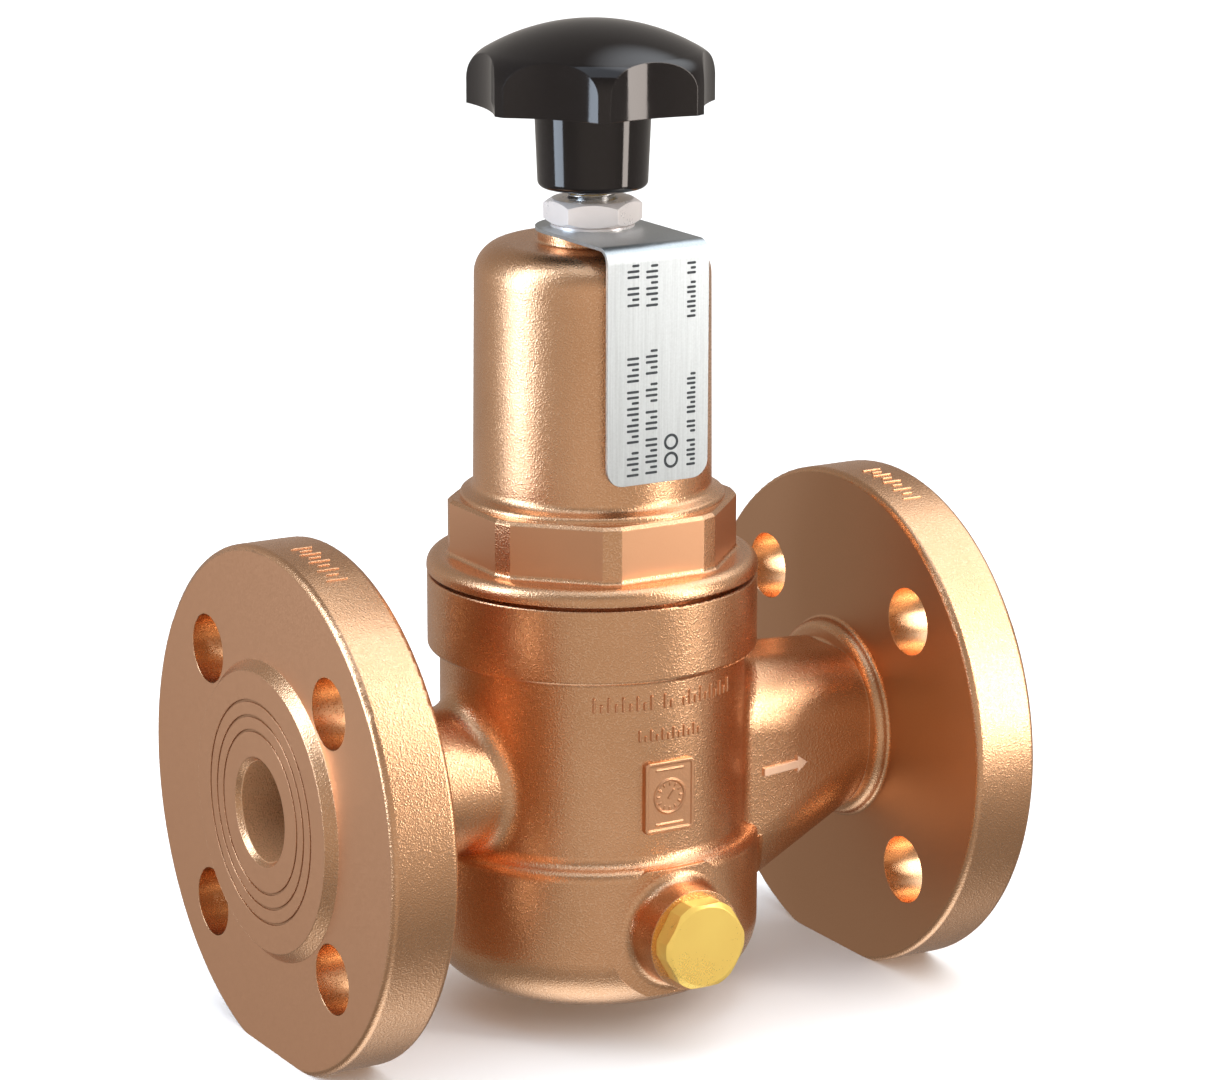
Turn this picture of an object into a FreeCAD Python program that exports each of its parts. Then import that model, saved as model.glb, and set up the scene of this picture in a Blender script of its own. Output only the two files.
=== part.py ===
import FreeCAD, Part
import math
import os

# Direct-acting, diaphragm-operated pressure reducing valve with two DN 20 flanges.
# Millimetres. X is the flow direction, Z the spindle axis. Heights in this file are measured
# from the pipe axis; save() lifts every piece by AXIS_HEIGHT, so the finished origin lies under
# the spindle, on the surface that the flange flats stand on.

# ---- flanges, DN 20 / PN 40 ----
FACE_TO_FACE = 150.0
FLANGE_RADIUS = 52.5
FLANGE_PLATE = 14.0
RIM_ROUND = 1.3
RAISED_FACE_RADIUS = 28.0
RAISED_FACE_HEIGHT = 2.0
RAISED_FACE_ROOT_RADIUS = 30.0
RAISED_FACE_EDGE = 0.2
GROOVE_RADII = (16.2, 19.1, 22.1)
GROOVE_WIDTH = 0.5
GROOVE_DEPTH = 0.35
BORE_RADIUS = 10.0
BORE_LENGTH = 17.0
BORE_CHAMFER = 1.0
CORED_RADIUS = 10.8
BOLT_CIRCLE_RADIUS = 37.5
BOLT_HOLE_RADIUS = 7.0
BOLT_COUNT = 4
FLANGE_ROOT_ROUND = 0.8
AXIS_HEIGHT = 50.0

# ---- roundings and overlaps used throughout ----
FINE_EDGE = 0.3
EDGE = 0.5
BOLD_EDGE = 0.8
OVERCUT = 1.0
FUSE_TOLERANCE = 0.001

# ---- necks between the flanges and the body ----
INLET_NECK_RADIUS = 15.0
INLET_BEAD_RADIUS = 17.95
OUTLET_NECK_RADIUS = 17.7
OUTLET_NECK_CORNER = 13.0
OUTLET_NECK_START = 20.0
OUTLET_NECK_END = 58.0
OUTLET_NECK_START_TOP = 18.6
OUTLET_NECK_END_TOP = 16.2
OUTLET_NECK_DROP = 20.6
OUTLET_BEAD_RADIUS = 20.65
BEAD_LENGTH = 4.0
BEAD_FOOT = 1.0
BEAD_FOOT_ROUND = 0.9
BEAD_SHOULDER = 1.2
BEAD_ROUND = 2.0
NECK_FILLET = 4.5
BOWL_NECK_FILLET = 2.8

# ---- flow arrow on the outlet neck ----
ARROW_TAIL = 30.2
ARROW_NECK = 38.2
ARROW_TIP = 40.5
ARROW_SHAFT = 0.8
ARROW_HEAD = 1.8
ARROW_HEIGHT = -3.0
ARROW_RISE = 0.08
ARROW_PROUD = 0.55

# ---- body casting ----
BODY_RADIUS = 30.85
COLLAR_RADIUS = 33.3
COLLAR_BOTTOM = 24.2
PARTING_HEIGHT = 39.3
BOWL_RADIUS = 33.9
BOWL_TOP = -14.6
BOWL_BOTTOM = -44.8
BOWL_CORNER = 12.0
BOWL_WALL = 5.2
BOWL_SHOULDER = 2.3
BOWL_SHOULDER_RISE = 1.5
BOWL_SHOULDER_DEPTH = 2.2
COLLAR_ROUND = 0.9
PARTING_ROUND = 0.4
INLET_PASSAGE_END = -16.0
LOWER_CHAMBER_ROUND = 3.0
INLET_CHAMBER_RADIUS = 19.0
INLET_CHAMBER_TOP = 6.0
SEAT_WEB_TOP = -8.0
SEAT_WEB_BOTTOM = -13.0
OUTLET_BEND = 52.0
OUTLET_FOOT = 27.0
OUTLET_FOOT_HEIGHT = -15.2
SENSING_CHAMBER_RADIUS = 23.0
SENSING_CHAMBER_FLOOR = 18.0
DIAPHRAGM_LEDGE = 26.5
THREAD_CLEARANCE = 0.03
THREAD_CHAMFER = 1.0

# ---- gauge connections in the bowl ----
GAUGE_HEIGHT = -27.1
GAUGE_BOSS_RADIUS = 10.2
GAUGE_BOSS_END = 40.6
GAUGE_BOSS_ROOT = 26.0
GAUGE_BOSS_FILLET = 2.2
GAUGE_BOSS_ZONE = 13.0
GAUGE_THREAD_RADIUS = 6.58
GAUGE_THREAD_START = 20.0
GAUGE_PLUG_TIP = 29.5
GAUGE_PLUG_FACE = 45.0
GAUGE_HEX_ACROSS = 17.0
GAUGE_HEX_CORNER = 9.05
GAUGE_HEX_FACE = 8.0
GAUGE_SEAL_RADIUS = 8.2
GAUGE_SEAL_THICKNESS = 0.9

# ---- spring bonnet ----
BONNET_GAP = 0.7
BONNET_SKIRT_RADIUS = 33.4
BONNET_SKIRT_ROUND = 2.6
BONNET_THREAD_RADIUS = 29.0
OCTAGON_BOTTOM = 43.5
OCTAGON_TOP = 55.0
OCTAGON_ACROSS = 55.0
OCTAGON_CORNER_RADIUS = 29.05
OCTAGON_CHAMFER = 0.7
OCTAGON_ROOT = 0.9
BONNET_FOOT_RADIUS = 23.95
BONNET_FOOT_FLARE = 2.6
BONNET_FOOT_STEP = 1.0
BONNET_FOOT_HEIGHT = 2.2
BONNET_FOOT_ROUND = 1.6
BONNET_TOP_RADIUS = 23.5
BONNET_TOP = 106.5
BONNET_SHOULDER = 6.5
BONNET_BORE = 20.0
BONNET_BORE_CONE = 2.0
BONNET_CEILING = 102.0
BONNET_CEILING_ROUND = 3.0
COLLAR_BOSS_RADIUS = 10.9
COLLAR_BOSS_TOP = 108.8
COLLAR_BOSS_ROUND = 0.6

# ---- name plate ----
PLATE_THICKNESS = 0.7
PLATE_WIDTH = 22.8
PLATE_FRONT = -25.3
PLATE_BOTTOM = 62.5
PLATE_BEND = 2.4
PLATE_CORNER = 3.6
PLATE_HOLE_CLEARANCE = 0.3

# ---- spindle, lock nut and knob ----
SCREW_RADIUS = 5.0
SCREW_CLEARANCE = 0.05
SCREW_TIP = 89.5
SCREW_TIP_ROUND = 1.2
SCREW_END = 136.0
WASHER_THICKNESS = 0.5
WASHER_RADIUS = 8.3
NUT_HEIGHT = 5.0
NUT_ACROSS = 17.0
NUT_FACE_SHARE = 0.95
CHAMFER_DEG = 30.0
HEX_SLIVER = 0.01
KNOB_RADIUS = 25.0
KNOB_HUB_BOTTOM = 117.2
KNOB_HUB_TOP_RADIUS = 11.8
KNOB_HUB_BOTTOM_RADIUS = 10.9
KNOB_SKIRT_BOTTOM = 133.4
KNOB_TOP = 150.2
KNOB_SHOULDER_START = 138.3
KNOB_SHOULDER = 7.0
KNOB_LOBES = 7
KNOB_FIRST_CUSP_DEG = -115.2
KNOB_CUSP_WIDTH = 2.4
KNOB_SCALLOP_RADIUS = 38.0
KNOB_HOLLOW = 3.0
KNOB_RIM = 4.5
KNOB_HUB_ROOT = 1.5
KNOB_HUB_ROUND = 1.4
INSERT_RADIUS = 7.0
INSERT_RECESS = 0.4
INSERT_GROOVE_START = 6.0
INSERT_GROOVE_END = 9.8
INSERT_GROOVE_DEPTH = 0.8

# ---- spring, diaphragm and trim ----
SPRING_WIRE_RADIUS = 2.0
SPRING_MEAN_RADIUS = 15.5
SPRING_BOTTOM = 31.5
SPRING_TOP = 86.0
SPRING_PITCH = 7.0
SPRING_PILOT_GAP = 0.3
UPPER_PLATE_RADIUS = 18.5
UPPER_PLATE_THICKNESS = 3.0
UPPER_PLATE_PILOT = 1.5
UPPER_PLATE_BOSS_RADIUS = 8.5
UPPER_PLATE_BOSS_TOP = 91.5
UPPER_PLATE_POCKET_GAP = 0.2
DIAPHRAGM_THICKNESS = 2.0
DIAPHRAGM_RADIUS = 28.8
SLIP_RING_THICKNESS = 1.0
PLATE_RADIUS = 19.0
PLATE_PILOT_HEIGHT = 2.5
PLATE_PILOT_WIDTH = 2.5
WASHER_HEIGHT = 2.5
STEM_THREAD_RADIUS = 4.0
STEM_RADIUS = 5.0
STEM_BOTTOM = -30.0
STEM_TOP = 38.5
STEM_PASSAGE_RADIUS = 1.5
STEM_CROSS_HOLE = 20.5
STEM_NUT_ACROSS = 13.0
STEM_NUT_HEIGHT = 6.5
DISC_NUT_HEIGHT = 4.5
PISTON_RADIUS = 9.0
PISTON_CLEARANCE = 0.04
PISTON_BOTTOM = 7.0
PISTON_TOP = 17.0
GUIDE_RADIUS = 17.0
GUIDE_FLANGE_RADIUS = 20.0
GUIDE_FLANGE_HEIGHT = 2.0
GUIDE_SEAL_HEIGHT = 10.0
SEAT_RADIUS = 9.0
SEAT_LIP_WIDTH = 1.0
SEAT_LIP_ROOT = 1.8
SEAT_THREAD_RADIUS = 12.0
SEAT_FLANGE_RADIUS = 14.5
SEAT_FLANGE_HEIGHT = 1.6
SEAT_CONE = 1.5
SEAT_BOTTOM = -13.4
SEAT_LIP_BOTTOM = -14.2
VALVE_LIFT = 3.0
CLOSED_GAP = 0.02
SEAL_TOP = SEAT_LIP_BOTTOM - VALVE_LIFT - CLOSED_GAP
SEAL_THICKNESS = 2.0
SEAL_OUTER_RADIUS = 11.8
SEAL_INNER_RADIUS = 6.6
SEAL_GAP = 0.02
RETAINER_RADIUS = 8.4
RETAINER_THICKNESS = 0.8
DISC_RADIUS = 13.0
DISC_HUB_RADIUS = 7.5
DISC_DEPTH = 3.0
DISC_RIM_DEPTH = 0.6
O_RING = 0.75
O_RING_SQUEEZE = 0.02

UP = FreeCAD.Vector(0, 0, 1)
ALONG = FreeCAD.Vector(1, 0, 0)
BACK = FreeCAD.Vector(0, 1, 0)
ORIGIN = FreeCAD.Vector(0, 0, 0)


def vec(x, y, z):
    return FreeCAD.Vector(x, y, z)


# ---- drawing helpers ----
def rounded_face(corners, place):
    """A closed flat face through corners (u, v, radius), with a tangent arc at each radius.
    place(u, v) gives the point in space."""
    count = len(corners)
    stops = []
    for i, (u, v, radius) in enumerate(corners):
        here = vec(u, v, 0)
        before = vec(corners[i - 1][0], corners[i - 1][1], 0) - here
        after = vec(corners[(i + 1) % count][0], corners[(i + 1) % count][1], 0) - here
        before.normalize()
        after.normalize()
        if radius == 0:
            stops.append((here, None, here))
            continue
        half = before.getAngle(after) / 2
        reach = radius / math.tan(half)
        bisector = before + after
        bisector.normalize()
        middle = here + bisector * (radius / math.sin(half) - radius)
        stops.append((here + before * reach, middle, here + after * reach))
    edges = []
    for i, (start, middle, end) in enumerate(stops):
        if middle is not None:
            arc = Part.Arc(place(start.x, start.y), place(middle.x, middle.y), place(end.x, end.y))
            edges.append(arc.toShape())
        onward = stops[(i + 1) % count][0]
        if end.distanceToPoint(onward) > 1e-6:
            edges.append(Part.makeLine(place(end.x, end.y), place(onward.x, onward.y)))
    return Part.Face(Part.Wire(edges))


def lathe(*corners):
    """Solid of revolution about Z through corners (radius, height, rounding)."""
    face = rounded_face(corners, lambda r, z: vec(r, 0, z))
    return face.revolve(ORIGIN, UP, 360)


def lathe_along(*corners):
    """Solid of revolution about X through corners (x, radius, rounding)."""
    face = rounded_face(corners, lambda x, r: vec(x, 0, r))
    return face.revolve(ORIGIN, ALONG, 360)


def disc(radius, bottom, top):
    return Part.makeCylinder(radius, top - bottom, vec(0, 0, bottom), UP)


def ring(outer, inner, bottom, top):
    return disc(outer, bottom, top).cut(disc(inner, bottom, top))


def o_ring(mean_radius, height, section):
    return Part.makeTorus(mean_radius, section, vec(0, 0, height), UP)


def polygon_prism(across, sides, bottom, top, turn_deg=0.0):
    """Regular prism about Z with the given width across its flats."""
    corner = across / 2 / math.cos(math.pi / sides)
    points = []
    for i in range(sides + 1):
        angle = math.radians(turn_deg) + (i + 0.5) * 2 * math.pi / sides
        points.append(vec(corner * math.cos(angle), corner * math.sin(angle), bottom))
    return Part.Face(Part.makePolygon(points)).extrude(UP * (top - bottom))


def hexagon(across, bottom, top, corner_radius, face_radius, turn_deg=0.0, both_ends=True):
    """Hexagon bar turned to corner_radius, with 30 degree chamfers down to face_radius."""
    drop = (corner_radius - face_radius) * math.tan(math.radians(CHAMFER_DEG))
    low = bottom + drop if both_ends else bottom
    start = face_radius if both_ends else corner_radius - HEX_SLIVER
    envelope = lathe((0, bottom, 0), (start, bottom, 0), (corner_radius, low, 0),
                     (corner_radius, top - drop, 0), (face_radius, top, 0), (0, top, 0))
    return polygon_prism(across, 6, bottom, top, turn_deg).common(envelope)


def single(shape):
    """The one solid of a shape, with split faces merged."""
    return shape.removeSplitter().Solids[0]


def save(node, shape):
    placed = shape.copy()
    placed.translate(UP * AXIS_HEIGHT)
    if not placed.isValid():
        raise ValueError(node + " is not a valid shape")
    placed.exportStep("parts/" + node + ".step")
    size = placed.BoundBox
    print("%-24s solids %d  volume %9.1f  box %.1f x %.1f x %.1f" % (
        node, len(placed.Solids), placed.Volume, size.XLength, size.YLength, size.ZLength))


# ---- valve body ----
def flange(direction, neck_radius, bead_radius):
    """One flange with its raised face, grooves, bolt holes and the bead round the neck."""
    face = FACE_TO_FACE / 2
    front = face - RAISED_FACE_HEIGHT
    back = front - FLANGE_PLATE
    bead_start = back - BEAD_LENGTH
    shape = lathe_along(
        (bead_start, 0, 0), (bead_start, neck_radius, 0), (bead_start + BEAD_FOOT, neck_radius, BEAD_FOOT_ROUND),
        (bead_start + BEAD_SHOULDER, bead_radius, BEAD_ROUND), (back, bead_radius, FLANGE_ROOT_ROUND),
        (back, FLANGE_RADIUS, RIM_ROUND), (front, FLANGE_RADIUS, RIM_ROUND),
        (front, RAISED_FACE_ROOT_RADIUS, 0), (face, RAISED_FACE_RADIUS, RAISED_FACE_EDGE), (face, 0, 0))
    for radius in GROOVE_RADII:
        inner = radius - GROOVE_WIDTH / 2
        outer = radius + GROOVE_WIDTH / 2
        floor = face - GROOVE_DEPTH
        groove = lathe_along((floor, inner, 0), (floor, outer, 0), (face + OVERCUT, outer, 0),
                             (face + OVERCUT, inner, 0))
        shape = shape.cut(groove)
    for i in range(BOLT_COUNT):
        angle = math.radians(45 + i * 360 / BOLT_COUNT)
        centre = vec(back - OVERCUT, BOLT_CIRCLE_RADIUS * math.cos(angle), BOLT_CIRCLE_RADIUS * math.sin(angle))
        shape = shape.cut(Part.makeCylinder(BOLT_HOLE_RADIUS, FLANGE_PLATE + 2 * OVERCUT, centre, ALONG))
    reach = 2 * FLANGE_RADIUS
    below = Part.makeBox(reach, reach, reach, vec(0, -FLANGE_RADIUS, -AXIS_HEIGHT - reach))
    shape = shape.cut(below)
    if direction < 0:
        shape = shape.mirror(ORIGIN, ALONG)
    return shape


def neck_section(x, top, drop):
    """Section of the outlet neck across X: rounded shoulders, flat sides and a half-round bottom."""
    side = OUTLET_NECK_RADIUS
    corner = OUTLET_NECK_CORNER
    inset = corner * (1 - math.sqrt(0.5))
    shoulder = top - corner
    crown = side - corner
    edges = [
        Part.makeLine(vec(x, -crown, top), vec(x, crown, top)),
        Part.Arc(vec(x, crown, top), vec(x, side - inset, top - inset), vec(x, side, shoulder)).toShape(),
        Part.makeLine(vec(x, side, shoulder), vec(x, side, -drop)),
        Part.Arc(vec(x, side, -drop), vec(x, 0, -drop - side), vec(x, -side, -drop)).toShape(),
        Part.makeLine(vec(x, -side, -drop), vec(x, -side, shoulder)),
        Part.Arc(vec(x, -side, shoulder), vec(x, inset - side, top - inset), vec(x, -crown, top)).toShape()]
    return Part.Wire(edges)


def outlet_neck():
    """Neck that grows downwards towards the bowl."""
    sections = [neck_section(OUTLET_NECK_START, OUTLET_NECK_START_TOP, OUTLET_NECK_DROP),
                neck_section(OUTLET_NECK_END, OUTLET_NECK_END_TOP, 0)]
    return Part.makeLoft(sections, True, True)


def filleted(shape, radius, wanted):
    """Fillet the edges that wanted(edge) picks; the shape is unchanged if the fillet fails."""
    edges = [edge for edge in shape.Edges if wanted(edge)]
    if not edges:
        return shape
    try:
        rounded = shape.makeFillet(radius, edges)
    except Part.OCCError:
        print("fillet failed, radius", radius)
        return shape
    return rounded if rounded.isValid() else shape


def leaves_cylinder(radius, axis_height_range):
    """Picks curved edges that run on a vertical cylinder of this radius, within a height range."""
    low, high = axis_height_range

    def wanted(edge):
        points = edge.discretize(9)
        on_wall = all(abs(math.hypot(p.x, p.y) - radius) < 0.02 for p in points)
        level = max(p.z for p in points) - min(p.z for p in points) < 0.01
        inside = all(low <= p.z <= high for p in points)
        return on_wall and not level and inside
    return wanted


def slab(bottom, top):
    """Everything between two heights that can belong to the body."""
    return disc(FACE_TO_FACE, bottom, top)


def rooted(radius, necks, fillet):
    """A wall of this radius with necks growing out of it, filleted where they meet."""
    wall = disc(radius, BOWL_BOTTOM, COLLAR_BOTTOM + OVERCUT)
    joined = single(wall.fuse(necks))
    return filleted(joined, fillet, leaves_cylinder(radius, (BOWL_BOTTOM, COLLAR_BOTTOM)))


def body_blank():
    """Outside of the casting before any chamber is cut."""
    inlet = Part.makeCylinder(INLET_NECK_RADIUS, FACE_TO_FACE / 2 - FLANGE_PLATE, ORIGIN, -ALONG)
    outlet = outlet_neck()
    change = BOWL_TOP - BOWL_SHOULDER_DEPTH
    upper = rooted(BODY_RADIUS, [inlet, outlet], NECK_FILLET).common(slab(change, COLLAR_BOTTOM + OVERCUT))
    lower = rooted(BOWL_RADIUS, [outlet], BOWL_NECK_FILLET).common(slab(BOWL_BOTTOM + BOWL_CORNER, change))
    bowl = lathe(
        (0, BOWL_BOTTOM, 0), (BOWL_RADIUS, BOWL_BOTTOM, BOWL_CORNER), (BOWL_RADIUS, BOWL_TOP, BOWL_SHOULDER),
        (BODY_RADIUS, BOWL_TOP + BOWL_SHOULDER_RISE, BOWL_SHOULDER), (BODY_RADIUS, COLLAR_BOTTOM, BOLD_EDGE),
        (COLLAR_RADIUS, COLLAR_BOTTOM, COLLAR_ROUND), (COLLAR_RADIUS, PARTING_HEIGHT, PARTING_ROUND),
        (0, PARTING_HEIGHT, 0))
    return bowl.fuse([upper, lower], FUSE_TOLERANCE)


def gauge_boss(side):
    """Boss for a gauge connection, blended into the bowl. side is -1 in front and 1 behind."""
    wall = disc(BOWL_RADIUS, GAUGE_HEIGHT - GAUGE_BOSS_ZONE, GAUGE_HEIGHT + GAUGE_BOSS_ZONE)
    root = vec(0, side * GAUGE_BOSS_ROOT, GAUGE_HEIGHT)
    boss = Part.makeCylinder(GAUGE_BOSS_RADIUS, GAUGE_BOSS_END - GAUGE_BOSS_ROOT, root, BACK * side)
    blend = filleted(single(wall.fuse(boss)), GAUGE_BOSS_FILLET, leaves_cylinder(BOWL_RADIUS, (BOWL_BOTTOM, 0)))
    keep_radius = GAUGE_BOSS_RADIUS + 2 * GAUGE_BOSS_FILLET
    inner = vec(0, side * GAUGE_THREAD_START, GAUGE_HEIGHT)
    keep = Part.makeCylinder(keep_radius, GAUGE_BOSS_END, inner, BACK * side)
    return blend.common(keep)


def gauge_bore(side):
    """Threaded hole of a gauge connection with the recess for its sealing ring."""
    start = vec(0, side * GAUGE_THREAD_START, GAUGE_HEIGHT)
    length = GAUGE_BOSS_END + OVERCUT - GAUGE_THREAD_START
    thread = Part.makeCylinder(GAUGE_THREAD_RADIUS, length, start, BACK * side)
    seat = vec(0, side * (GAUGE_BOSS_END - GAUGE_SEAL_THICKNESS), GAUGE_HEIGHT)
    recess = Part.makeCylinder(GAUGE_SEAL_RADIUS, GAUGE_SEAL_THICKNESS + OVERCUT, seat, BACK * side)
    return thread.fuse(recess)


def port(direction):
    """The machined bore of one flange with its chamfer."""
    face = FACE_TO_FACE / 2
    wide = BORE_RADIUS + 2 * BORE_CHAMFER
    hole = lathe_along(
        (face - BORE_LENGTH, 0, 0), (face - BORE_LENGTH, BORE_RADIUS, 0), (face - BORE_CHAMFER, BORE_RADIUS, 0),
        (face + BORE_CHAMFER, wide, 0), (face + BORE_CHAMFER, 0, 0))
    return hole if direction > 0 else hole.mirror(ORIGIN, ALONG)


def flow_passages():
    """Everything hollow inside the casting."""
    cored_end = FACE_TO_FACE / 2 - BORE_LENGTH
    inlet = Part.makeCylinder(CORED_RADIUS, cored_end + INLET_PASSAGE_END, vec(-cored_end, 0, 0), ALONG)
    bend = vec(OUTLET_BEND, 0, 0)
    outlet = Part.makeCylinder(CORED_RADIUS, cored_end - OUTLET_BEND, bend, ALONG)
    slope = vec(OUTLET_FOOT, 0, OUTLET_FOOT_HEIGHT) - bend
    slanted = Part.makeCylinder(CORED_RADIUS, slope.Length, bend, slope)
    elbow = Part.makeSphere(CORED_RADIUS, bend)
    inner = BOWL_RADIUS - BOWL_WALL
    lower = lathe((0, BOWL_BOTTOM + BOWL_WALL, 0), (inner, BOWL_BOTTOM + BOWL_WALL, BOWL_CORNER - BOWL_WALL),
                  (inner, SEAT_WEB_BOTTOM, LOWER_CHAMBER_ROUND), (0, SEAT_WEB_BOTTOM, 0))
    chamber = disc(INLET_CHAMBER_RADIUS, SEAT_WEB_TOP, INLET_CHAMBER_TOP)
    web_hole = disc(SEAT_THREAD_RADIUS, SEAT_WEB_BOTTOM - OVERCUT, SEAT_WEB_TOP + OVERCUT)
    guide_hole = disc(GUIDE_RADIUS, INLET_CHAMBER_TOP - OVERCUT, SENSING_CHAMBER_FLOOR + OVERCUT)
    sensing = disc(SENSING_CHAMBER_RADIUS, SENSING_CHAMBER_FLOOR, DIAPHRAGM_LEDGE + OVERCUT)
    bonnet_thread = disc(BONNET_THREAD_RADIUS, DIAPHRAGM_LEDGE, PARTING_HEIGHT + OVERCUT)
    upper = chamber.fuse([web_hole, guide_hole, sensing, bonnet_thread])
    return upper.fuse([inlet, outlet, slanted, elbow, lower, port(-1), port(1), gauge_bore(-1), gauge_bore(1)])


def flow_arrow():
    """Raised arrow on the side of the outlet neck, pointing in the flow direction."""
    outline = [
        (ARROW_TAIL, -ARROW_SHAFT), (ARROW_NECK, -ARROW_SHAFT), (ARROW_NECK, -ARROW_HEAD),
        (ARROW_TIP, 0), (ARROW_NECK, ARROW_HEAD), (ARROW_NECK, ARROW_SHAFT), (ARROW_TAIL, ARROW_SHAFT),
        (ARROW_TAIL, -ARROW_SHAFT)]
    middle = (ARROW_TAIL + ARROW_TIP) / 2
    front = -OUTLET_NECK_RADIUS - ARROW_PROUD
    points = [vec(x, front, ARROW_HEIGHT + ARROW_RISE * (x - middle) + z) for x, z in outline]
    return Part.Face(Part.makePolygon(points)).extrude(BACK * 3 * ARROW_PROUD)


def valve_body():
    casting = body_blank()
    pieces = [
        flange(-1, INLET_NECK_RADIUS, INLET_BEAD_RADIUS),
        flange(1, OUTLET_NECK_END_TOP, OUTLET_BEAD_RADIUS),
        gauge_boss(-1), gauge_boss(1), flow_arrow()]
    for piece in pieces:
        casting = casting.fuse(piece)
    return casting.cut(flow_passages()).Solids[0]


# ---- spring bonnet ----
def octagon_rim(height):
    """Picks the edges of the octagon's outline that lie at this height."""
    def wanted(edge):
        points = edge.discretize(5)
        level = all(abs(p.z - height) < 0.001 for p in points)
        nearest = min(math.hypot(p.x, p.y) for p in points)
        farthest = max(math.hypot(p.x, p.y) for p in points)
        return level and nearest > OCTAGON_ACROSS / 2 - 0.01 and farthest < OCTAGON_CORNER_RADIUS + 0.01
    return wanted


def bonnet_outside(bottom):
    """Skirt, octagon for the spanner and the tower over the spring."""
    skirt = lathe(
        (0, bottom, 0), (BONNET_SKIRT_RADIUS, bottom, PARTING_ROUND),
        (BONNET_SKIRT_RADIUS, OCTAGON_BOTTOM, BONNET_SKIRT_ROUND), (0, OCTAGON_BOTTOM, 0))
    foot = OCTAGON_BOTTOM - OVERCUT
    turned = disc(OCTAGON_CORNER_RADIUS, foot, OCTAGON_TOP)
    octagon = polygon_prism(OCTAGON_ACROSS, 8, foot, OCTAGON_TOP).common(turned)
    octagon = octagon.makeChamfer(OCTAGON_CHAMFER, list(filter(octagon_rim(OCTAGON_TOP), octagon.Edges)))
    base = filleted(skirt.fuse(octagon), OCTAGON_ROOT, octagon_rim(OCTAGON_BOTTOM))
    flare = BONNET_FOOT_RADIUS + BONNET_FOOT_FLARE
    tower = lathe(
        (0, OCTAGON_TOP - OVERCUT, 0), (flare, OCTAGON_TOP - OVERCUT, 0),
        (flare, OCTAGON_TOP + BONNET_FOOT_STEP, COLLAR_ROUND),
        (BONNET_FOOT_RADIUS, OCTAGON_TOP + BONNET_FOOT_HEIGHT, BONNET_FOOT_ROUND),
        (BONNET_TOP_RADIUS, BONNET_TOP, BONNET_SHOULDER), (COLLAR_BOSS_RADIUS, BONNET_TOP, COLLAR_BOSS_ROUND),
        (COLLAR_BOSS_RADIUS, COLLAR_BOSS_TOP, PARTING_ROUND), (0, COLLAR_BOSS_TOP, 0))
    return base.fuse(tower)


def spring_bonnet():
    bottom = PARTING_HEIGHT + BONNET_GAP
    thread_bottom = DIAPHRAGM_LEDGE + DIAPHRAGM_THICKNESS + SLIP_RING_THICKNESS
    thread_radius = BONNET_THREAD_RADIUS - THREAD_CLEARANCE
    thread = lathe(
        (0, thread_bottom, 0), (thread_radius - THREAD_CHAMFER, thread_bottom, 0),
        (thread_radius, thread_bottom + THREAD_CHAMFER, 0), (thread_radius, bottom + OVERCUT, 0),
        (0, bottom + OVERCUT, 0))
    inside = lathe(
        (0, thread_bottom - OVERCUT, 0), (SENSING_CHAMBER_RADIUS, thread_bottom - OVERCUT, 0),
        (SENSING_CHAMBER_RADIUS, OCTAGON_BOTTOM - BONNET_BORE_CONE, 0),
        (BONNET_BORE, OCTAGON_BOTTOM + BONNET_BORE_CONE, 0),
        (BONNET_BORE, BONNET_CEILING, BONNET_CEILING_ROUND), (0, BONNET_CEILING, 0))
    screw_hole = disc(SCREW_RADIUS + SCREW_CLEARANCE, BONNET_CEILING - OVERCUT, COLLAR_BOSS_TOP + OVERCUT)
    return single(bonnet_outside(bottom).fuse(thread).cut(inside).cut(screw_hole))


def name_plate():
    """Strip under the lock nut, bent down in front of the bonnet."""
    top = COLLAR_BOSS_TOP + PLATE_THICKNESS
    half = PLATE_WIDTH / 2
    inside_front = PLATE_FRONT + PLATE_THICKNESS
    side = rounded_face(
        ((0, top, 0), (PLATE_FRONT, top, PLATE_BEND + PLATE_THICKNESS), (PLATE_FRONT, PLATE_BOTTOM, 0),
         (inside_front, PLATE_BOTTOM, 0), (inside_front, COLLAR_BOSS_TOP, PLATE_BEND), (0, COLLAR_BOSS_TOP, 0)),
        lambda y, z: vec(-half, y, z))
    strip = side.extrude(ALONG * PLATE_WIDTH)
    outline = ((-half, PLATE_BOTTOM, PLATE_CORNER), (half, PLATE_BOTTOM, PLATE_CORNER),
               (half, top + OVERCUT, 0), (-half, top + OVERCUT, 0))
    tab = rounded_face(outline, lambda x, z: vec(x, PLATE_FRONT - OVERCUT, z)).extrude(BACK * FACE_TO_FACE)
    strip = strip.common(tab).fuse(disc(half, COLLAR_BOSS_TOP, top))
    hole = disc(SCREW_RADIUS + PLATE_HOLE_CLEARANCE, COLLAR_BOSS_TOP - OVERCUT, top + OVERCUT)
    return single(strip.cut(hole))


# ---- gauge plugs ----
def gauge_plug(side):
    """Hexagon plug drawn about Z, then laid along Y with two of its corners level."""
    head = hexagon(GAUGE_HEX_ACROSS, GAUGE_BOSS_END, GAUGE_PLUG_FACE, GAUGE_HEX_CORNER, GAUGE_HEX_FACE,
                   turn_deg=30, both_ends=False)
    shank_radius = GAUGE_THREAD_RADIUS - THREAD_CLEARANCE
    shank = lathe(
        (0, GAUGE_PLUG_TIP, 0), (shank_radius - THREAD_CHAMFER, GAUGE_PLUG_TIP, 0),
        (shank_radius, GAUGE_PLUG_TIP + THREAD_CHAMFER, 0), (shank_radius, GAUGE_BOSS_END, 0),
        (0, GAUGE_BOSS_END, 0))
    return lay_along_y(single(head.fuse(shank)), side)


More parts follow.
